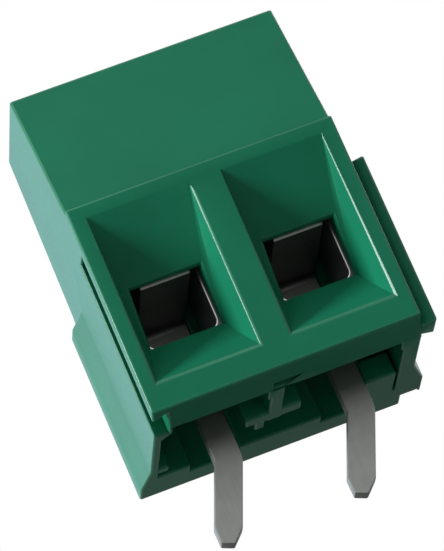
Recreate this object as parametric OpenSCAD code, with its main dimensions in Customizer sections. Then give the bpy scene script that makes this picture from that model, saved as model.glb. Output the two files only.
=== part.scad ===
// Two-pole screw terminal block for a printed circuit board, with rising clamp cages.
// Millimetres, +Z up from the board. The origin lies on the board, midway between the
// two solder pins. The wires enter from -Y and the screws are turned from the top.

/* [Housing] */
// Distance between the two poles, and so between pins and between screws
pitch = 5.08; // [5:0.01:7.62]
// Height of the housing above the board
body_h = 13.8; // [13.4:0.1:16]
// Height of the crease between the upright front and the leaning upper face
front_h = 8.5; // [8.2:0.1:9.4]
// Step at the crease, by which the upright front stands proud
ledge = 0.35; // [0.2:0.05:0.6]
// How far the top's front edge lies behind the upright front
top_setback = 1.8; // [1.4:0.05:1.95]
// Thickness of the rear wall at the board
rear_wall = 1.2; // [0.9:0.05:2]
// Amount by which the back leans in from the rear step to the top
back_lean = 0.45; // [0.2:0.05:0.5]
// Height of the rear step, below which the rear wall is thicker
step_h = 7.35; // [6:0.05:9]
// Depth of the rear step
step_d = 0.25; // [0.15:0.05:0.4]
// Fall of the rear step's sloping shoulder
step_fall = 0.65; // [0.2:0.05:1]
// Depth of the bevel under the front edge
toe_d = 1.4; // [0.8:0.05:1.6]
// Height of the bevel under the front edge
toe_h = 0.35; // [0.2:0.05:0.6]

/* [Wire entry] */
// Width of each funnel at the front face
funnel_w = 3.9; // [3.4:0.05:4]
// Depth of the funnel's floor, from the front face to the window's sill
funnel_d = 1.8; // [1.5:0.05:2.2]
// Depth of the funnel's ceiling, from the front face to the window's upper edge
lintel_d = 1.05; // [0.9:0.05:1.4]
// Height of the funnel's lower edge above the board
funnel_z = 1.36; // [1:0.02:1.8]
// Band left between the funnel's upper edge and the crease
brow = 0.5; // [0.4:0.05:0.8]
// Width of the window at the funnel's end
window_w = 2.7; // [2.6:0.05:3]
// Height of the window's sill above the board
window_z = 3.2; // [3:0.05:3.5]
// Height of the window
window_h = 2.1; // [2:0.05:2.4]
// Thickness of the wall round the window
window_wall = 0.3; // [0.2:0.05:0.5]

/* [Interlock] */
// How far the dovetail rib stands out of the right side
rib_h = 0.54; // [0.3:0.02:0.56]
// Width of the dovetail rib at its root
rib_w = 0.8; // [0.6:0.05:0.9]
// Undercut of each flank of the dovetail
rib_flare = 0.25; // [0.1:0.05:0.3]
// Distance from the front face to the rib's root
rib_y = 0.62; // [0.55:0.02:0.7]
// Height of the rib's top end above the board
rib_top = 6.8; // [5:0.1:7.5]
// Height of the rib's lower end above the board
rib_foot = 0.1; // [0:0.05:0.5]
// Clearance between the rib and a neighbour's groove
rib_clear = 0.03; // [0.02:0.01:0.05]
// Overlap of the lower rear edges of neighbouring blocks
lap = 0.32; // [0.2:0.02:0.4]
// How far the rear lug stands out of the right side
lug_h = 0.44; // [0.3:0.02:0.5]
// Length of the lug, between its ramp and its back face
lug_l = 1.4; // [1:0.1:1.6]
// Distance from the rear face to the lug's back face
lug_back = 0.7; // [0.5:0.05:0.9]
// Length of the ramps on the lug and the lip
ramp_l = 1.6; // [1:0.1:1.8]
// Length of the lip behind its ramp
lip_l = 1; // [0.6:0.1:1.2]

/* [Underside] */
// Thickness of the left wall beside the recess
left_wall = 0.33; // [0.3:0.01:0.6]
// Thickness of the right wall beside the recess
right_wall = 0.75; // [0.6:0.05:0.8]
// Thickness of the middle wall
mid_wall = 0.65; // [0.5:0.05:0.8]
// Height of the recess
recess_h = 1.5; // [1.2:0.05:1.6]
// Length of the locking bar beyond the middle wall, on each side
lock_l = 0.75; // [0.5:0.05:0.9]
// Width of the locking bar
lock_w = 0.65; // [0.4:0.05:0.8]
// Height of the locking bar
lock_h = 0.9; // [0.5:0.05:1.2]
// Size of the small stop on the left wall
stop_w = 0.4; // [0.2:0.05:0.6]
// Front of the block in the rear right corner, behind the line of the pins
block_y = 0.15; // [0.1:0.05:0.5]
// Width of the nick in the bevel under the front edge
nick_w = 1.04; // [0.6:0.02:1.2]
// Depth of that nick, from front to back
nick_d = 0.3; // [0.2:0.02:0.5]
// Height of that nick
nick_h = 0.75; // [0.5:0.05:0.9]

/* [Clamp cage] */
// Width of the cage
cage_w = 3.5; // [3.4:0.05:3.7]
// Depth of the cage, along the wire
cage_d = 3.7; // [3.5:0.05:4.2]
// Thickness of the cage's side walls
cage_side = 0.45; // [0.4:0.05:0.45]
// Thickness of the cage's floor
cage_floor = 0.7; // [0.5:0.05:0.8]
// Thickness of the cage's tapped top
cage_top = 1.6; // [1.2:0.05:1.8]
// Inner corner radius of the cage
cage_r = 0.3; // [0.2:0.05:0.4]
// How far the open cage's floor stands above the window's sill
sill_gap = 0.1; // [0.05:0.05:0.2]

/* [Contact] */
// Thickness of the contact strip
strip_t = 0.6; // [0.4:0.05:0.7]
// Width of the contact strip
strip_w = 1.9; // [1.6:0.05:2.1]
// How far the strip's edge shows below the top of the window
strip_show = 0.1; // [0.06:0.02:0.3]
// Inner radius of the strip's bends
bend_r = 0.25; // [0.15:0.05:0.4]
// Width of the solder pin
pin_w = 1.0; // [0.8:0.05:1.2]
// Straight length of the pin below the board's surface
pin_straight = 0.8; // [0.6:0.05:1.5]
// Length of the pin beyond its sideways bend
pin_bent = 3.0; // [2:0.1:4]
// Angle by which the pins are bent over sideways, in degrees
pin_angle = 22.5; // [0.5:0.5:30]
// Length of the tapered tip
tip_l = 0.6; // [0.4:0.05:0.9]
// Width of the tip's flat end
tip_w = 0.48; // [0.3:0.02:0.6]

/* [Screw] */
// Outside diameter of the thread
screw_d = 2.5; // [2:0.1:2.5]
// Thread pitch
thread = 0.45; // [0.4:0.05:0.5]
// Diameter of the head
head_d = 3.5; // [3.4:0.05:3.6]
// Height of the head
head_h = 1.8; // [1.4:0.05:2]
// Width of the driver slot
slot_w = 0.6; // [0.5:0.05:0.8]
// Depth of the driver slot
slot_d = 0.9; // [0.6:0.05:1.1]
// Thickness of the shoulder under the screw's head
seat_t = 0.8; // [0.5:0.05:1]
// Diameter of the driver hole, a little under the head's, so that the screw stays in
driver_d = 3.4; // [2.8:0.05:3.4]

/* [Fits] */
// Radial running clearance of the screw in its seat and in the cage
run = 0.05; // [0.03:0.01:0.08]
// Clearance around the cage and the screw's head
gap = 0.15; // [0.1:0.01:0.18]

/* [Hidden] */
$fn = 96;
e = 0.01;

// plan: x of each pole, and y of the front, the inner walls and the rear
poles = [-pitch / 2, pitch / 2];
body_w = 2 * pitch;
chamber_front = -cage_d / 2 - gap;
front = chamber_front - window_wall - funnel_d;
leg_front = cage_d / 2 + gap;
chamber_back = leg_front + strip_t;
rear = chamber_back + rear_wall;
chamber_w = cage_w + 2 * gap;

// heights, from the window up to the seat of the screw's head
window_top = window_z + window_h;
bar_z = window_top - strip_show;
bar_top = bar_z + strip_t;
cage_in_z = window_z + sill_gap;
cage_z = cage_in_z - cage_floor;
cage_in_top = bar_top + gap;
cage_out_top = cage_in_top + cage_top;
travel = bar_z - cage_in_z - sill_gap;
chamber_top = cage_out_top + travel + gap;
seat_z = chamber_top + seat_t;
head_space = head_h + gap;
foot_top = cage_z - 2 * gap;
foot_z = foot_top - strip_t;

// underside: left face of the middle wall, which stands a little left of the middle
mid_x = -0.1 - mid_wall;
// y of the locking bar's rear face, just behind the line of the pins
lock_back = 0.1;

body_green = "#237452";
tinned = "#8b8d8b";
cage_grey = "#56585c";
screw_grey = "#9a9c9c";

// ---- housing ----------------------------------------------------------------

// Side outline, drawn in Y and Z
module side_outline() {
    polygon([
        [front + toe_d, 0], [front, toe_h], [front, front_h],
        [front + ledge, front_h], [front + top_setback, body_h],
        [rear - step_d - back_lean, body_h], [rear - step_d, step_h],
        [rear, step_h - step_fall], [rear, 0]
    ]);
}

// Extrudes an outline drawn in Y and Z across X, from x0 over a width w
module across(x0, w) {
    translate([x0, 0, 0]) rotate([90, 0, 90]) linear_extrude(w) children();
}

// Dovetail outline standing on the line x = 0, spread by c on every side
module dovetail(c) {
    y0 = front + rib_y - c;
    y1 = front + rib_y + rib_w + c;
    polygon([
        [-e, y0], [0, y0], [rib_h + c, y0 - rib_flare],
        [rib_h + c, y1 + rib_flare], [0, y1], [-e, y1]
    ]);
}

// Rear lug on the right side, undercut at the back like the rib
module lug() {
    y1 = rear - lug_back;
    linear_extrude(recess_h) polygon([
        [-lap - e, y1 - lug_l - ramp_l], [0, y1 - lug_l - ramp_l], [lug_h, y1 - lug_l],
        [lug_h, y1], [-lap, y1 - rib_flare], [-lap - e, y1 - rib_flare]
    ]);
}

// Ramped lip along the lower rear edge of the left side
module lip() {
    linear_extrude(step_h - step_fall) polygon([
        [e, rear - lip_l - ramp_l], [0, rear - lip_l - ramp_l],
        [-lap, rear - lip_l], [-lap, rear], [e, rear]
    ]);
}

// Tapered mouth, from the front face to the window, which leans forwards at the top
module funnel(x) {
    hull() {
        translate([x - funnel_w / 2, front - e, funnel_z])
            cube([funnel_w, e, front_h - brow - funnel_z]);
        across(x - window_w / 2, window_w) polygon([
            [front + funnel_d, window_z], [front + lintel_d, window_top],
            [front + lintel_d + e, window_top], [front + funnel_d + e, window_z]
        ]);
    }
}

// Window in Y and Z, with the pocket behind its lintel for the end of the contact strip
module window_side() {
    pocket_y = front + lintel_d + window_wall;
    polygon([
        [front + funnel_d, window_z], [chamber_front + e, window_z],
        [chamber_front + e, bar_top], [pocket_y, bar_top], [pocket_y, window_top],
        [front + lintel_d, window_top]
    ]);
}

// Window, cage chamber, screw seat and driver hole of one pole
module pole_space(x) {
    across(x - window_w / 2, window_w) window_side();
    translate([x - chamber_w / 2, chamber_front, -1])
        cube([chamber_w, leg_front - chamber_front, chamber_top + 1]);
    // slot in the rear wall for the leg of the contact strip
    translate([x - strip_w / 2, leg_front - e, -1]) cube([strip_w, strip_t + e, bar_top + 1]);
    translate([x, 0, chamber_top - 1]) cylinder(r = screw_d / 2 + run, h = seat_t + 2);
    translate([x, 0, seat_z]) cylinder(r = head_d / 2 + gap / 2, h = head_space);
    translate([x, 0, seat_z + head_space / 2]) cylinder(d = driver_d, h = body_h);
}

// Wide recess round the pins, open towards the board, in two parts beside the middle wall
module underside() {
    y0 = front + toe_d - 0.05;
    left_x = -body_w / 2 + left_wall;
    right_x = body_w / 2 - right_wall;
    mid_right = mid_x + mid_wall;
    // y just behind the groove, in front of which the left wall is thicker
    groove_end = front + rib_y + rib_w + rib_flare + gap;
    step = 0.4;
    translate([0, 0, -1]) linear_extrude(recess_h + 1) {
        polygon([
            [left_x + step, y0], [mid_x, y0], [mid_x, leg_front], [left_x, leg_front],
            [left_x, groove_end + step], [left_x + step, groove_end]
        ]);
        translate([mid_right, y0]) square([right_x - mid_right, leg_front - y0]);
    }
    // relief that joins the two parts behind the locking bar
    translate([mid_x - e, lock_back + 0.1, -1])
        cube([mid_wall + 2 * e, leg_front - lock_back - 0.1, lock_h + 1]);
    translate([-nick_w / 2, y0 - nick_d - 0.1, -1]) cube([nick_w, nick_d, nick_h + 1]);
}

// Locking bar across the middle wall with a stub behind it, a small stop on the left wall,
// and a block in the rear right corner
module underside_ribs() {
    bar_y = lock_back - lock_w;
    block_x = poles[1] + pin_w / 2 + 0.1;
    translate([mid_x - lock_l, bar_y, 0]) cube([mid_wall + 2 * lock_l, lock_w, lock_h]);
    translate([mid_x - lock_l / 2, bar_y, 0]) cube([lock_l / 2, 2 * lock_w, lock_h * 0.8]);
    translate([-body_w / 2 + left_wall - e, leg_front - 2 * stop_w, 0])
        cube([stop_w, stop_w, lock_h]);
    translate([block_x, block_y, 0])
        cube([body_w / 2 - right_wall - block_x + e, leg_front - block_y + e, lock_h]);
}

module housing() {
    color(body_green) {
        difference() {
            union() {
                across(-body_w / 2, body_w) side_outline();
                translate([body_w / 2, 0, rib_foot]) linear_extrude(rib_top - rib_foot) dovetail(0);
                translate([body_w / 2, 0, 0]) lug();
                translate([-body_w / 2, 0, 0]) lip();
            }
            for (x = poles) {
                funnel(x);
                pole_space(x);
            }
            underside();
            // groove on the left, which takes a neighbour's rib
            translate([-body_w / 2, 0, -1]) linear_extrude(rib_top + 1.1) dovetail(rib_clear);
            // rebate on the right, which takes a neighbour's lip
            translate([body_w / 2 - lap + e, rear - lip_l + 0.1, -1])
                cube([2 * lap, 2 * lip_l, step_h + 1]);
        }
        underside_ribs();
    }
}

// ---- contacts ---------------------------------------------------------------

// Quarter of a flat ring in the quadrant [sx, sy] about its centre
module quarter(r, w, sx, sy) {
    intersection() {
        difference() {
            circle(r + w);
            circle(r);
        }
        translate([sx < 0 ? -2 * (r + w) : 0, sy < 0 ? -2 * (r + w) : 0])
            square(2 * (r + w));
    }
}

// Bent strip in Y and Z: bar through the cage, leg behind it, foot below it
module strip_side() {
    r = bend_r;
    t = strip_t;
    y_end = chamber_back;
    bar_front = front + lintel_d + window_wall;
    translate([bar_front, bar_z]) square([y_end - r - t - bar_front, t]);
    translate([y_end - r - t, bar_top - r - t]) quarter(r, t, 1, 1);
    translate([y_end - t, foot_z + r + t]) square([t, bar_top - foot_z - 2 * (r + t)]);
    translate([y_end - r - t, foot_z + r + t]) quarter(r, t, 1, -1);
    translate([t / 2 + r, foot_z]) square([y_end - 2 * r - 1.5 * t, t]);
    translate([t / 2 + r, foot_z - r]) quarter(r, t, -1, 1);
}

// Solder pin in X and Z: straight, then bent over in its own plane, with a tapered tip
module pin_face() {
    c = [-pin_w / 2 - bend_r, -pin_straight];
    translate([-pin_w / 2, -pin_straight]) square([pin_w, foot_z - bend_r + pin_straight]);
    translate(c) intersection() {
        difference() {
            circle(pin_w + bend_r);
            circle(bend_r);
        }
        polygon([[0, 0], [3, 0], [3, -3 * tan(pin_angle)]]);
    }
    translate(c) rotate(-pin_angle) translate([bend_r, -pin_bent]) polygon([
        [0, pin_bent], [0, tip_l], [(pin_w - tip_w) / 2, 0],
        [(pin_w + tip_w) / 2, 0], [pin_w, tip_l], [pin_w, pin_bent]
    ]);
}

module contact(x) {
    color(tinned) {
        across(x - strip_w / 2, strip_w) strip_side();
        translate([x, strip_t / 2, 0]) rotate([90, 0, 0]) linear_extrude(strip_t) pin_face();
    }
}

// ---- clamp cages ------------------------------------------------------------

// Rectangle in X and Z with round corners, centred on X
module round_frame(w, z0, z1, r) {
    flat = w / 2 - r;
    translate([-w / 2, z0 + r]) square([w, z1 - z0 - 2 * r]);
    translate([-flat, z0]) square([2 * flat, z1 - z0]);
    for (s = [-1, 1], z = [z0 + r, z1 - r]) translate([s * flat, z]) circle(r);
}

module cage(x) {
    groove = 0.16;
    color(cage_grey) difference() {
        translate([x, cage_d / 2, 0]) rotate([90, 0, 0]) linear_extrude(cage_d) difference() {
            round_frame(cage_w, cage_z, cage_out_top, cage_r * 2);
            round_frame(cage_w - 2 * cage_side, cage_in_z, cage_in_top, cage_r);
        }
        translate([x, 0, cage_in_top - 0.5]) cylinder(r = screw_d / 2 + run, h = cage_top + 1);
        // grip grooves across the floor
        for (i = [-2:2])
            translate([x, i * cage_d / 6, cage_in_z]) rotate([45, 0, 0])
                cube([cage_w - 2 * cage_side - 2 * cage_r, groove, groove], center = true);
    }
}

// ---- screws -----------------------------------------------------------------

// Half outline of the screw: tip, thread turns, plain neck and head
module screw_half() {
    r = screw_d / 2;
    depth = thread * 0.6;
    z0 = bar_top + run;
    turns = floor((cage_out_top + travel - z0) / thread);
    z_neck = z0 + depth + turns * thread;
    head_r = head_d / 2;
    head_z = seat_z + head_h;
    edge = 0.3;
    polygon(concat(
        [[0, z0], [r - depth, z0]],
        [for (i = [0:turns - 1]) for (p = [[r, 0], [r - depth, thread / 2]])
            [p[0], z0 + depth + i * thread + p[1]]],
        [[r, z_neck], [r, seat_z], [head_r, seat_z], [head_r, head_z - edge],
            [head_r - edge, head_z], [0, head_z]]
    ));
}

module screw(x) {
    color(screw_grey) translate([x, 0, 0]) difference() {
        rotate_extrude() screw_half();
        translate([-slot_w / 2, -head_d, seat_z + head_h - slot_d])
            cube([slot_w, 2 * head_d, slot_d + 1]);
    }
}

housing();
contact(poles[0]);  // contact_1
contact(poles[1]);  // contact_2
cage(poles[0]);  // cage_1
cage(poles[1]);  // cage_2
screw(poles[0]);  // screw_1
screw(poles[1]);  // screw_2
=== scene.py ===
import math

import bmesh
import bpy
from bpy.props import FloatProperty, FloatVectorProperty
from mathutils import Matrix, Vector


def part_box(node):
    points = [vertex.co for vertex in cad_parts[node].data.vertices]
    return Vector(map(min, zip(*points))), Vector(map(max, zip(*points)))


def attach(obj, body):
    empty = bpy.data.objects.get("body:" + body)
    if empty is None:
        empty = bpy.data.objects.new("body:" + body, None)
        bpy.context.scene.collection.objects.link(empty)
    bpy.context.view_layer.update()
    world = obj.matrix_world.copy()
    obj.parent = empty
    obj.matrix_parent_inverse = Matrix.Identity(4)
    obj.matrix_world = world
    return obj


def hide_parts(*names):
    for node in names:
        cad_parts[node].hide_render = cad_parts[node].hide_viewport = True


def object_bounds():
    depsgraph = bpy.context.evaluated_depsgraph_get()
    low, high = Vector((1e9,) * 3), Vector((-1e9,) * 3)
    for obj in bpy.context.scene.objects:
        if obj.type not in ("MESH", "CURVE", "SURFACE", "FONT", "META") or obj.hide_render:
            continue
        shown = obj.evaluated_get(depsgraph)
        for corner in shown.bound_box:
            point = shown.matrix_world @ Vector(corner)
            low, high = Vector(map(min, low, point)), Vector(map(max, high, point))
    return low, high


bl_info = {
    "name": "Board screw terminal",
    "version": (1, 0, 0),
    "blender": (4, 5, 0),
    "location": "View3D > Sidebar > Terminal",
    "description": "Dresses a two-pole screw terminal block for a circuit board",
    "category": "Object",
}

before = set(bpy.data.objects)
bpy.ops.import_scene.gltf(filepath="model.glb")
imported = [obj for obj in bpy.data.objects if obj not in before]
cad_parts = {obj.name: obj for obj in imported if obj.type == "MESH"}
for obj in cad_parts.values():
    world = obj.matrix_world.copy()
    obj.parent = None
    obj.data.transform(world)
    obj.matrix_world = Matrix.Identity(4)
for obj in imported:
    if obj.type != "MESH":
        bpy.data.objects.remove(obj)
CAD_LOW, CAD_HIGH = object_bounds()


# ---- working values ----------------------------------------------------------

MM = 0.001
POLES = ("1", "2")

# an edge whose faces turn by more than this is rounded
MOULDED_SHARP = math.radians(25)
METAL_SHARP = math.radians(40)
# faces that turn by less than this are made one, or are shaded as one
FLAT = math.radians(0.3)
SMOOTH = math.radians(32)
THREAD_SMOOTH = math.radians(50)
# corners that lie closer than this are welded
LOOSE_CORNERS = 0.0005 * MM
CROWDED_CORNERS = 0.06 * MM
# a rounding's largest share of the face beside it, with or without a second rounding
SHARED_FACE = 0.48
OWN_FACE = 0.95
# an edge that goes on nearly in line leaves the rounding its full width
IN_LINE = 0.4

THREAD_SIDES = 48
RINGS_PER_TURN = 10
HEAD_SIDES = 72

SENSOR_WIDTH = 36
LOOK_AT = Vector((-0.13, -0.32, 5.55)) * MM
# each lamp's place seen from the terminal's middle and its width, in metres
LAMPS = (
    ("key", (-0.258, -0.088, 0.064), 0.07, "#ffffff"),
    ("fill", (-0.05, -0.13, 0.22), 0.12, "#ffffff"),
    ("back", (-0.073, 0.258, 0.076), 0.12, "#7fb4ff"),
    ("rear", (0.2, 0.17, 0.16), 0.15, "#ffffff"),
)
FLOOR_WIDTH = 4
FLOOR_GAP = 0.2 * MM
FLOOR_GREY = 0.33
FLOOR_GLOW = 0.55
MIRRORED_GLOW = 0.04
SOFT_LIGHT = 0.2
WHITE = (1, 1, 1, 1)


# ---- small helpers -----------------------------------------------------------

def linear(hex_colour):
    """An sRGB hex colour as the linear RGBA that the shaders take."""
    parts = [int(hex_colour[i:i + 2], 16) / 255 for i in (1, 3, 5)]
    return [c / 12.92 if c <= 0.04045 else ((c + 0.055) / 1.055) ** 2.4
            for c in parts] + [1]


def pick(thing):
    """Makes one object the only one selected, and the active one."""
    bpy.ops.object.select_all(action="DESELECT")
    thing.select_set(True)
    bpy.context.view_layer.objects.active = thing
    return thing


def add_modifier(piece, kind, **settings):
    """Adds a modifier with its settings and applies it at once."""
    pick(piece)
    modifier = piece.modifiers.new(kind.title(), kind)
    for key, value in settings.items():
        setattr(modifier, key, value)
    bpy.ops.object.modifier_apply(modifier=modifier.name)


def paint(piece, *materials):
    """Gives a piece its material and, if there is a second, that of its rounded edges."""
    piece.data.materials.clear()
    for material in materials:
        piece.data.materials.append(material)


def dress(piece, body, node):
    """Puts a piece on its body and in its CAD node's place."""
    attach(piece, body)
    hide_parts(node)


def copy_solid(node, name, weld=LOOSE_CORNERS):
    """Copies a CAD node's mesh, welds its loose triangles and joins its flat faces."""
    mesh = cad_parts[node].data.copy()
    mesh.name = name
    piece = bpy.data.objects.new(name, mesh)
    bpy.context.scene.collection.objects.link(piece)
    pick(piece)
    bpy.ops.object.mode_set(mode="EDIT")
    bpy.ops.mesh.select_all(action="SELECT")
    bpy.ops.mesh.remove_doubles(threshold=weld)
    bpy.ops.mesh.dissolve_limited(angle_limit=FLAT)
    bpy.ops.mesh.customdata_custom_splitnormals_clear()
    bpy.ops.object.mode_set(mode="OBJECT")
    return piece


def room_beside(edge, sharp):
    """How wide an edge's rounding can be before it runs into its neighbours'."""
    room = math.inf
    for corner in edge.verts:
        along = (edge.other_vert(corner).co - corner.co).normalized()
        for face in edge.link_faces:
            for side in corner.link_edges:
                if side is edge or face not in side.link_faces:
                    continue
                away = side.other_vert(corner).co - corner.co
                across = (away - along * away.dot(along)).length
                if across > IN_LINE * away.length:
                    room = min(room, across * (SHARED_FACE if side in sharp else OWN_FACE))
    return room


def weigh_edges(piece, width, angle):
    """Gives each sharp outward edge its share of the rounding's width."""
    mesh = bmesh.new()
    mesh.from_mesh(piece.data)
    weight = mesh.edges.layers.float.new("bevel_weight_edge")
    sharp = {edge for edge in mesh.edges if edge.calc_face_angle_signed(0) > angle}
    for edge in sharp:
        edge[weight] = min(1, room_beside(edge, sharp) / width)
    mesh.to_mesh(piece.data)
    mesh.free()


def soften(piece, width, angle, segments=2):
    """Rounds the sharp outward edges of a piece and shades it smoothly."""
    weigh_edges(piece, width, angle)
    add_modifier(piece, "BEVEL", width=width, segments=segments, limit_method="WEIGHT",
                 use_clamp_overlap=False, miter_outer="MITER_ARC", loop_slide=False,
                 material=len(piece.data.materials) - 1)
    pick(piece)
    bpy.ops.object.shade_smooth_by_angle(angle=SMOOTH)
    add_modifier(piece, "WEIGHTED_NORMAL", keep_sharp=True)


def add_node(tree, kind, links=None, **settings):
    """Adds a node, sets its options or input values by name, and links its inputs."""
    node = tree.nodes.new(kind)
    for key, value in settings.items():
        if hasattr(node, key):
            setattr(node, key, value)
        else:
            node.inputs[key.replace("_", " ")].default_value = value
    for key, source in (links or {}).items():
        tree.links.new(source, node.inputs[key])
    return node


def new_material(name, **shader_values):
    """A material with its tree, its shader, set by socket names, and the piece's place."""
    material = bpy.data.materials.new(name)
    material.use_nodes = True
    shader = material.node_tree.nodes["Principled BSDF"]
    for key, value in shader_values.items():
        shader.inputs[key.replace("_", " ")].default_value = value
    place = add_node(material.node_tree, "ShaderNodeTexCoord").outputs["Object"]
    return material, material.node_tree, shader, place


def per_mm(period):
    """A texture scale whose pattern repeats about every so many millimetres."""
    return 1 / (period * MM)


def vary_colour(tree, shader, place, colour, shades, patch, detail=3.0, ends=(0, 1)):
    """Lets a colour drift between two shades of it, in patches of so many millimetres."""
    patches = add_node(tree, "ShaderNodeTexNoise", {"Vector": place},
                       Scale=per_mm(patch), Detail=detail).outputs["Fac"]
    tint = add_node(tree, "ShaderNodeValToRGB", {"Fac": patches})
    for element, end, shade in zip(tint.color_ramp.elements, ends, shades):
        element.position = end
        element.color = [min(1, c * shade) for c in colour] + [1]
    tree.links.new(tint.outputs["Color"], shader.inputs["Base Color"])
    return patches


# ---- materials ---------------------------------------------------------------

def moulded_polyamide(name, colour, gloss, smoothest, roughest):
    """Green polyamide 66, injection moulded in a spark-eroded mould."""
    # the fine spark-eroded grain gives a satin sheen, and flow gives a faint cloudiness
    material, tree, shader, place = new_material(name, IOR=1.53, Specular_IOR_Level=gloss)
    vary_colour(tree, shader, place, colour, (0.93, 1.07), patch=3, ends=(0.3, 0.7))
    # the real grain is about 0.02 mm and is drawn three times as coarse, so that it shows
    grain = add_node(tree, "ShaderNodeTexNoise", {"Vector": place}, Scale=per_mm(0.06),
                     Detail=2.0)
    rough = add_node(tree, "ShaderNodeMapRange", {"Value": grain.outputs["Fac"]},
                     To_Min=smoothest, To_Max=roughest)
    tree.links.new(rough.outputs["Result"], shader.inputs["Roughness"])
    bump = add_node(tree, "ShaderNodeBump", {"Height": grain.outputs["Fac"]},
                    Strength=0.25, Distance=0.006 * MM)
    tree.links.new(bump.outputs["Normal"], shader.inputs["Normal"])
    return material


def tin_plating(colour):
    """Matt electroplated tin on bent copper-alloy strip."""
    # matt tin scatters light evenly, with soft mottling and faint rolling lines
    material, tree, shader, place = new_material("Matt tin plating", Metallic=1.0)
    vary_colour(tree, shader, place, colour, (0.88, 1.1), patch=0.5, detail=4.0)
    # the lines run up and down the strip, so their pattern is drawn out along it
    lines = add_node(tree, "ShaderNodeMapping", {"Vector": place}, Scale=(1, 1, 0.06))
    streak = add_node(tree, "ShaderNodeTexNoise", {"Vector": lines.outputs["Vector"]},
                      Scale=per_mm(0.08), Detail=3.0)
    rough = add_node(tree, "ShaderNodeMapRange", {"Value": streak.outputs["Fac"]},
                     To_Min=0.38, To_Max=0.6)
    tree.links.new(rough.outputs["Result"], shader.inputs["Roughness"])
    bump = add_node(tree, "ShaderNodeBump", {"Height": streak.outputs["Fac"]},
                    Strength=0.3, Distance=0.004 * MM)
    tree.links.new(bump.outputs["Normal"], shader.inputs["Normal"])
    return material


def dark_plated_steel(name, colour, metallic):
    """Black-passivated steel of the clamp cages, stamped and bent."""
    # the thin dark film dulls the steel's sheen; the lighter edge copy is partly bare steel
    # and partly a painted highlight
    material, tree, shader, place = new_material(name, Metallic=metallic)
    film = vary_colour(tree, shader, place, colour, (0.8, 1.1), patch=0.9)
    rough = add_node(tree, "ShaderNodeMapRange", {"Value": film}, To_Min=0.26, To_Max=0.42)
    tree.links.new(rough.outputs["Result"], shader.inputs["Roughness"])
    return material


def zinc_plated_steel(colour):
    """Clear-passivated zinc on turned steel screws."""
    # zinc is bright and slightly blue, and its fine crystals gloss unevenly
    material, tree, shader, place = new_material("Zinc plated steel", Metallic=1.0)
    spangle = vary_colour(tree, shader, place, colour, (0.9, 1.08), patch=0.35)
    rough = add_node(tree, "ShaderNodeMapRange", {"Value": spangle},
                     To_Min=0.24, To_Max=0.38)
    tree.links.new(rough.outputs["Result"], shader.inputs["Roughness"])
    return material


def seen_by_eye_or_gloss(tree):
    """1 for the rays that the camera, gloss and glass send out, and 0 for soft light."""
    path = add_node(tree, "ShaderNodeLightPath")
    either = add_node(tree, "ShaderNodeMath", {0: path.outputs["Is Camera Ray"],
                                               1: path.outputs["Is Glossy Ray"]},
                      operation="MAXIMUM")
    every = add_node(tree, "ShaderNodeMath", {0: either.outputs[0],
                                              1: path.outputs["Is Transmission Ray"]},
                     operation="MAXIMUM")
    return every.outputs[0]


def pale_floor():
    """A floor that keeps the shadow, and that the camera looks through from below."""
    # the glow is seen, and faintly mirrored, but puts no soft light on the terminal
    material = bpy.data.materials.new("Pale floor")
    material.use_nodes = True
    tree = material.node_tree
    tree.nodes.clear()
    path = add_node(tree, "ShaderNodeLightPath")
    gloss = add_node(tree, "ShaderNodeMath", {0: path.outputs["Is Glossy Ray"],
                                              1: path.outputs["Is Transmission Ray"]},
                     operation="MAXIMUM")
    mirrored = add_node(tree, "ShaderNodeMapRange", {"Value": gloss.outputs[0]},
                        To_Min=0.0, To_Max=MIRRORED_GLOW)
    glow = add_node(tree, "ShaderNodeMapRange", {"Value": path.outputs["Is Camera Ray"],
                                                 "To Min": mirrored.outputs[0]},
                    To_Max=FLOOR_GLOW)
    matt = add_node(tree, "ShaderNodeBsdfDiffuse",
                    Color=(FLOOR_GREY, FLOOR_GREY, FLOOR_GREY, 1))
    shine = add_node(tree, "ShaderNodeEmission", {"Strength": glow.outputs[0]})
    pale = add_node(tree, "ShaderNodeAddShader", {0: matt.outputs[0], 1: shine.outputs[0]})
    clear = add_node(tree, "ShaderNodeBsdfTransparent")
    below = add_node(tree, "ShaderNodeNewGeometry").outputs["Backfacing"]
    through = add_node(tree, "ShaderNodeMath", {0: path.outputs["Is Camera Ray"], 1: below},
                       operation="MULTIPLY")
    surface = add_node(tree, "ShaderNodeMixShader",
                       {0: through.outputs[0], 1: pale.outputs[0], 2: clear.outputs[0]})
    add_node(tree, "ShaderNodeOutputMaterial", {"Surface": surface.outputs[0]})
    return material


# ---- settings ----------------------------------------------------------------

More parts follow.
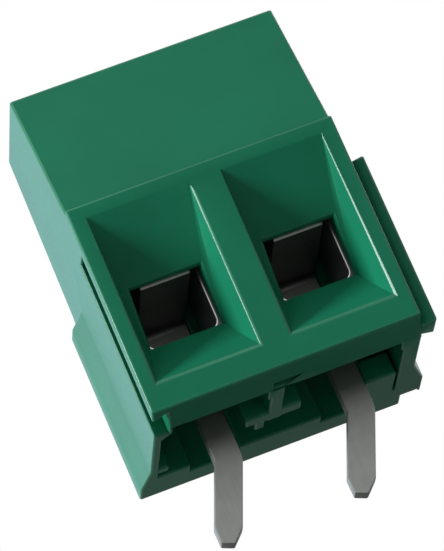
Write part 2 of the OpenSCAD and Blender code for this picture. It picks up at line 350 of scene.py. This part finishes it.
class TerminalFinish(bpy.types.PropertyGroup):
    """Colours, edge widths and screw sizes of the terminal's pieces."""

    housing_green: FloatVectorProperty(
        name="Housing", description="Colour of the moulded housing", size=3,
        subtype="COLOR", default=linear("#157556")[:3], min=0, max=1)
    tin_grey: FloatVectorProperty(
        name="Contacts", description="Colour of the tin-plated strips", size=3,
        subtype="COLOR", default=linear("#90938f")[:3], min=0, max=1)
    cage_grey: FloatVectorProperty(
        name="Cages", description="Colour of the clamp cages", size=3,
        subtype="COLOR", default=linear("#8e9196")[:3], min=0, max=1)
    # the lighter edge colour is partly bare cut steel and partly a painted highlight on the
    # cages' rims
    cage_bare_edge_and_highlight_grey: FloatVectorProperty(
        name="Cage edges", description="Colour of the clamp cages' bare edges, painted light for their highlight", size=3,
        subtype="COLOR", default=linear("#d2cdcb")[:3], min=0, max=1)
    screw_grey: FloatVectorProperty(
        name="Screws", description="Colour of the clamp screws", size=3,
        subtype="COLOR", default=linear("#c6c8c8")[:3], min=0, max=1)
    moulded_round: FloatProperty(
        name="Moulded edges", description="Width of the rounding on the housing's edges",
        unit="LENGTH", default=0.09 * MM, min=0.02 * MM, max=0.2 * MM, precision=6)
    metal_round: FloatProperty(
        name="Metal edges", description="Width of the rounding on the metal's edges",
        unit="LENGTH", default=0.05 * MM, min=0.01 * MM, max=0.1 * MM, precision=6)
    head_height: FloatProperty(
        name="Head height", description="Height of the screw's head",
        unit="LENGTH", default=1.8 * MM, min=1 * MM, max=2.5 * MM, precision=6)
    thread_diameter: FloatProperty(
        name="Thread diameter", description="Outside diameter of the screw's thread",
        unit="LENGTH", default=2.5 * MM, min=2 * MM, max=3 * MM, precision=6)
    thread_pitch: FloatProperty(
        name="Thread pitch", description="Distance between the screw thread's turns",
        unit="LENGTH", default=0.45 * MM, min=0.35 * MM, max=0.7 * MM, precision=6)
    thread_depth: FloatProperty(
        name="Thread depth", description="Depth of the screw thread",
        unit="LENGTH", default=0.27 * MM, min=0.1 * MM, max=0.4 * MM, precision=6)
    slot_width: FloatProperty(
        name="Slot width", description="Width of the screw's driver slot",
        unit="LENGTH", default=0.6 * MM, min=0.4 * MM, max=0.9 * MM, precision=6)
    slot_depth: FloatProperty(
        name="Slot depth", description="Depth of the screw's driver slot",
        unit="LENGTH", default=0.9 * MM, min=0.4 * MM, max=1.2 * MM, precision=6)


class StudioSettings(bpy.types.PropertyGroup):
    """Camera and lamps of the plain studio."""

    distance: FloatProperty(
        name="Distance", description="Distance from the camera to what it looks at",
        unit="LENGTH", default=172.1 * MM, min=0.05, max=1, precision=5)
    azimuth: FloatProperty(
        name="Azimuth", description="Turn of the camera round the terminal",
        subtype="ANGLE", default=math.radians(-10.955), precision=3)
    elevation: FloatProperty(
        name="Elevation", description="Height of the camera above the board's plane",
        subtype="ANGLE", default=math.radians(-18.995), precision=3)
    roll: FloatProperty(
        name="Roll", description="Turn of the camera about its own line of sight",
        subtype="ANGLE", default=math.radians(-23.69), precision=3)
    lens: FloatProperty(
        name="Lens", description="Focal length in millimetres, on a 36 mm sensor",
        default=314.46, min=50, max=600)
    key_power: FloatProperty(
        name="Key lamp", description="Power of the lamp at the left, in watts",
        default=0.93, min=0, max=5)
    fill_power: FloatProperty(
        name="Fill lamp", description="Power of the lamp high in front, in watts",
        default=0.12, min=0, max=5)
    back_power: FloatProperty(
        name="Back lamp", description="Power of the cool lamp behind, in watts",
        default=0.035, min=0, max=5)
    rear_power: FloatProperty(
        name="Rear lamp", description="Power of the lamp at the rear right, in watts",
        default=0.2, min=0, max=5)


# ---- pieces ------------------------------------------------------------------

class TERMINAL_OT_housing(bpy.types.Operator):
    """Makes the moulded housing with rounded edges"""

    bl_idname = "terminal.housing"
    bl_label = "Housing"

    def execute(self, context):
        finish = context.scene.terminal_finish
        housing = copy_solid("housing", "housing_moulding", weld=CROWDED_CORNERS)
        # the rounded edges get a glossier copy of the satin moulding, a painted highlight
        # that brightens the lamp's gleam along them
        paint(housing,
              moulded_polyamide("Moulded polyamide 66", finish.housing_green,
                                gloss=0.15, smoothest=0.3, roughest=0.45),
              moulded_polyamide("Polished polyamide 66", finish.housing_green,
                                gloss=0.38, smoothest=0.28, roughest=0.38))
        soften(housing, finish.moulded_round, MOULDED_SHARP, segments=3)
        dress(housing, "block", "housing")
        return {"FINISHED"}


class TERMINAL_OT_contacts(bpy.types.Operator):
    """Makes the two bent contact strips with their solder pins"""

    bl_idname = "terminal.contacts"
    bl_label = "Contacts"

    def execute(self, context):
        finish = context.scene.terminal_finish
        tin = tin_plating(finish.tin_grey)
        for pole in POLES:
            strip = copy_solid("contact_" + pole, "contact_strip_" + pole)
            paint(strip, tin)
            soften(strip, finish.metal_round, METAL_SHARP)
            dress(strip, "block", "contact_" + pole)
        return {"FINISHED"}


class TERMINAL_OT_cages(bpy.types.Operator):
    """Makes the two rising clamp cages"""

    bl_idname = "terminal.cages"
    bl_label = "Clamp cages"

    def execute(self, context):
        finish = context.scene.terminal_finish
        steel = dark_plated_steel("Dark passivated steel", finish.cage_grey, metallic=0.5)
        # the edge material is painted lighter, partly for bare steel and partly as the
        # rims' highlight
        bare_edge_and_highlight = dark_plated_steel("Bare steel edge", finish.cage_bare_edge_and_highlight_grey, metallic=1.0)
        for pole in POLES:
            cage = copy_solid("cage_" + pole, "clamp_cage_" + pole)
            # the stamped edges are painted brighter: partly bare steel, partly a painted
            # highlight along the cages' rims
            paint(cage, steel, bare_edge_and_highlight)
            soften(cage, finish.metal_round, METAL_SHARP)
            dress(cage, "cage_body_" + pole, "cage_" + pole)
        return {"FINISHED"}


class TERMINAL_OT_screws(bpy.types.Operator):
    """Turns the two slotted clamp screws with their helical threads"""

    bl_idname = "terminal.screws"
    bl_label = "Clamp screws"

    def execute(self, context):
        finish = context.scene.terminal_finish
        zinc = zinc_plated_steel(finish.screw_grey)
        for pole in POLES:
            low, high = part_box("screw_" + pole)
            centre = (low + high) / 2
            # the head rests on the housing's shoulder at this height
            seat_z = high.z - finish.head_height
            shank = self.threaded_shank(finish, centre, low.z, seat_z)
            head = self.slotted_head(finish, centre, seat_z, high)
            pick(head)
            shank.select_set(True)
            bpy.ops.object.join()
            head.name = "clamp_screw_" + pole
            paint(head, zinc)
            dress(head, "screw_body_" + pole, "screw_" + pole)
        return {"FINISHED"}

    def threaded_shank(self, finish, centre, z_low, seat_z):
        """A cylinder with rings drawn in along a helix, and a neck inside the head."""
        radius = finish.thread_diameter / 2
        pitch = finish.thread_pitch
        # the neck ends inside the head, below the slot
        z_high = seat_z + finish.slot_depth / 2
        bpy.ops.mesh.primitive_cylinder_add(
            vertices=THREAD_SIDES, radius=radius, depth=z_high - z_low,
            location=(centre.x, centre.y, (z_low + z_high) / 2))
        shank = pick(bpy.context.object)
        bpy.ops.object.transform_apply(location=True, rotation=True, scale=True)
        rings = round((z_high - z_low) / pitch * RINGS_PER_TURN)
        self.subdivide_upright_edges(shank, rings)
        for vertex in shank.data.vertices:
            out = Vector((vertex.co.x - centre.x, vertex.co.y - centre.y))
            turn = math.atan2(out.y, out.x) / math.tau
            risen = (vertex.co.z - z_low) / pitch
            # 0 on the thread's crest and 1 in its valley
            valley = abs(2 * ((risen - turn) % 1) - 1)
            # the thread fades out under the head, and the tip is drawn in for a turn
            run_out = min(1, max(0, (seat_z - vertex.co.z) / pitch - 1))
            lead_in = max(0, 1 - risen)
            drawn_in = finish.thread_depth * max(valley * run_out, lead_in)
            out *= (radius - drawn_in) / radius
            vertex.co.x = centre.x + out.x
            vertex.co.y = centre.y + out.y
        pick(shank)
        bpy.ops.object.shade_smooth_by_angle(angle=THREAD_SMOOTH)
        return shank

    def subdivide_upright_edges(self, shank, rings):
        """Cuts the upright edges of a cylinder, so that it gets many rings."""
        pick(shank)
        bpy.ops.object.mode_set(mode="EDIT")
        bpy.ops.mesh.select_all(action="DESELECT")
        mesh = bmesh.from_edit_mesh(shank.data)
        for edge in mesh.edges:
            along = edge.verts[1].co - edge.verts[0].co
            edge.select_set(abs(along.z) > along.to_2d().length)
        bmesh.update_edit_mesh(shank.data)
        bpy.ops.mesh.subdivide(number_cuts=rings)
        bpy.ops.object.mode_set(mode="OBJECT")

    def slotted_head(self, finish, centre, seat_z, high):
        """A turned head with a rounded top edge and a milled slot."""
        radius = high.x - centre.x
        bpy.ops.mesh.primitive_cylinder_add(
            vertices=HEAD_SIDES, radius=radius, depth=high.z - seat_z,
            location=(centre.x, centre.y, (seat_z + high.z) / 2))
        head = pick(bpy.context.object)
        bpy.ops.object.transform_apply(location=True, rotation=True, scale=True)
        bpy.ops.mesh.primitive_cube_add(
            size=1, location=(centre.x, centre.y, high.z),
            scale=(finish.slot_width, 3 * radius, 2 * finish.slot_depth))
        cutter = pick(bpy.context.object)
        bpy.ops.object.transform_apply(location=True, rotation=True, scale=True)
        add_modifier(head, "BOOLEAN", operation="DIFFERENCE", object=cutter,
                     solver="EXACT")
        bpy.data.objects.remove(cutter)
        soften(head, finish.metal_round, METAL_SHARP, segments=3)
        return head


class TERMINAL_OT_studio(bpy.types.Operator):
    """Sets up the camera, the lamps, the floor and the pale surroundings"""

    bl_idname = "terminal.studio"
    bl_label = "Studio"

    def execute(self, context):
        studio = context.scene.terminal_studio
        self.place_camera(context, studio)
        for name, place, width, colour in LAMPS:
            power = getattr(studio, name + "_power")
            self.area_lamp(name.title() + " lamp", Vector(place), width, power, colour)
        self.floor()
        self.surroundings(context)
        context.scene.view_settings.view_transform = "Standard"
        return {"FINISHED"}

    def place_camera(self, context, studio):
        """A camera that looks at the terminal from the left, in front and below."""
        camera = bpy.data.objects.new("Camera", bpy.data.cameras.new("Camera"))
        context.scene.collection.objects.link(camera)
        camera.data.lens = studio.lens
        camera.data.sensor_width = SENSOR_WIDTH
        camera.data.clip_start = 0.01
        camera.data.clip_end = 10
        flat = math.cos(studio.elevation)
        back = Vector((math.sin(studio.azimuth) * flat, -math.cos(studio.azimuth) * flat,
                       math.sin(studio.elevation)))
        turned = back.to_track_quat("Z", "Y").to_matrix().to_4x4()
        rolled = turned @ Matrix.Rotation(studio.roll, 4, "Z")
        camera.matrix_world = Matrix.Translation(LOOK_AT + back * studio.distance) @ rolled
        context.scene.camera = camera

    def area_lamp(self, name, place, width, power, colour):
        """A square lamp beside the terminal, turned towards its middle."""
        lamp = bpy.data.objects.new(name, bpy.data.lights.new(name, "AREA"))
        bpy.context.scene.collection.objects.link(lamp)
        lamp.data.size = width
        lamp.data.energy = power
        lamp.data.color = linear(colour)[:3]
        lamp.visible_camera = False
        lamp.location = (CAD_LOW + CAD_HIGH) / 2 + place
        lamp.rotation_euler = place.to_track_quat("Z", "Y").to_euler()

    def floor(self):
        """A pale floor just under the pins."""
        bpy.ops.object.select_all(action="DESELECT")
        bpy.ops.mesh.primitive_plane_add(
            size=FLOOR_WIDTH, location=(0, 0, CAD_LOW.z - FLOOR_GAP))
        floor = bpy.context.object
        floor.name = "floor"
        floor.data.materials.append(pale_floor())

    def surroundings(self, context):
        """A dim, even light, which the camera and the metal see as white."""
        world = bpy.data.worlds.new("Studio")
        context.scene.world = world
        world.use_nodes = True
        tree = world.node_tree
        tree.nodes.clear()
        seen = seen_by_eye_or_gloss(tree)
        dim = add_node(tree, "ShaderNodeBackground", Color=WHITE, Strength=SOFT_LIGHT)
        white = add_node(tree, "ShaderNodeBackground", Color=WHITE, Strength=1.0)
        mix = add_node(tree, "ShaderNodeMixShader", {0: seen, 1: dim.outputs[0],
                                                     2: white.outputs[0]})
        add_node(tree, "ShaderNodeOutputWorld", {"Surface": mix.outputs[0]})


class TERMINAL_PT_panel(bpy.types.Panel):
    """Lists the steps that dress the terminal"""

    bl_idname = "TERMINAL_PT_panel"
    bl_label = "Screw terminal"
    bl_space_type = "VIEW_3D"
    bl_region_type = "UI"
    bl_category = "Terminal"

    def draw(self, context):
        layout = self.layout
        for group in (context.scene.terminal_finish, context.scene.terminal_studio):
            for key in group.__annotations__:
                layout.prop(group, key)
        for step in STEPS:
            layout.operator(step.bl_idname)


# ---- registration ------------------------------------------------------------

STEPS = (TERMINAL_OT_housing, TERMINAL_OT_contacts, TERMINAL_OT_cages,
         TERMINAL_OT_screws, TERMINAL_OT_studio)
CLASSES = (TerminalFinish, StudioSettings) + STEPS + (TERMINAL_PT_panel,)


def register():
    for made in CLASSES:
        bpy.utils.register_class(made)
    bpy.types.Scene.terminal_finish = bpy.props.PointerProperty(type=TerminalFinish)
    bpy.types.Scene.terminal_studio = bpy.props.PointerProperty(type=StudioSettings)


def unregister():
    del bpy.types.Scene.terminal_studio
    del bpy.types.Scene.terminal_finish
    for made in reversed(CLASSES):
        bpy.utils.unregister_class(made)


def main():
    """Makes every piece and the stage."""
    register()
    bpy.ops.terminal.housing()
    bpy.ops.terminal.contacts()
    bpy.ops.terminal.cages()
    bpy.ops.terminal.screws()
    bpy.ops.terminal.studio()


if __name__ == "__main__":
    main()
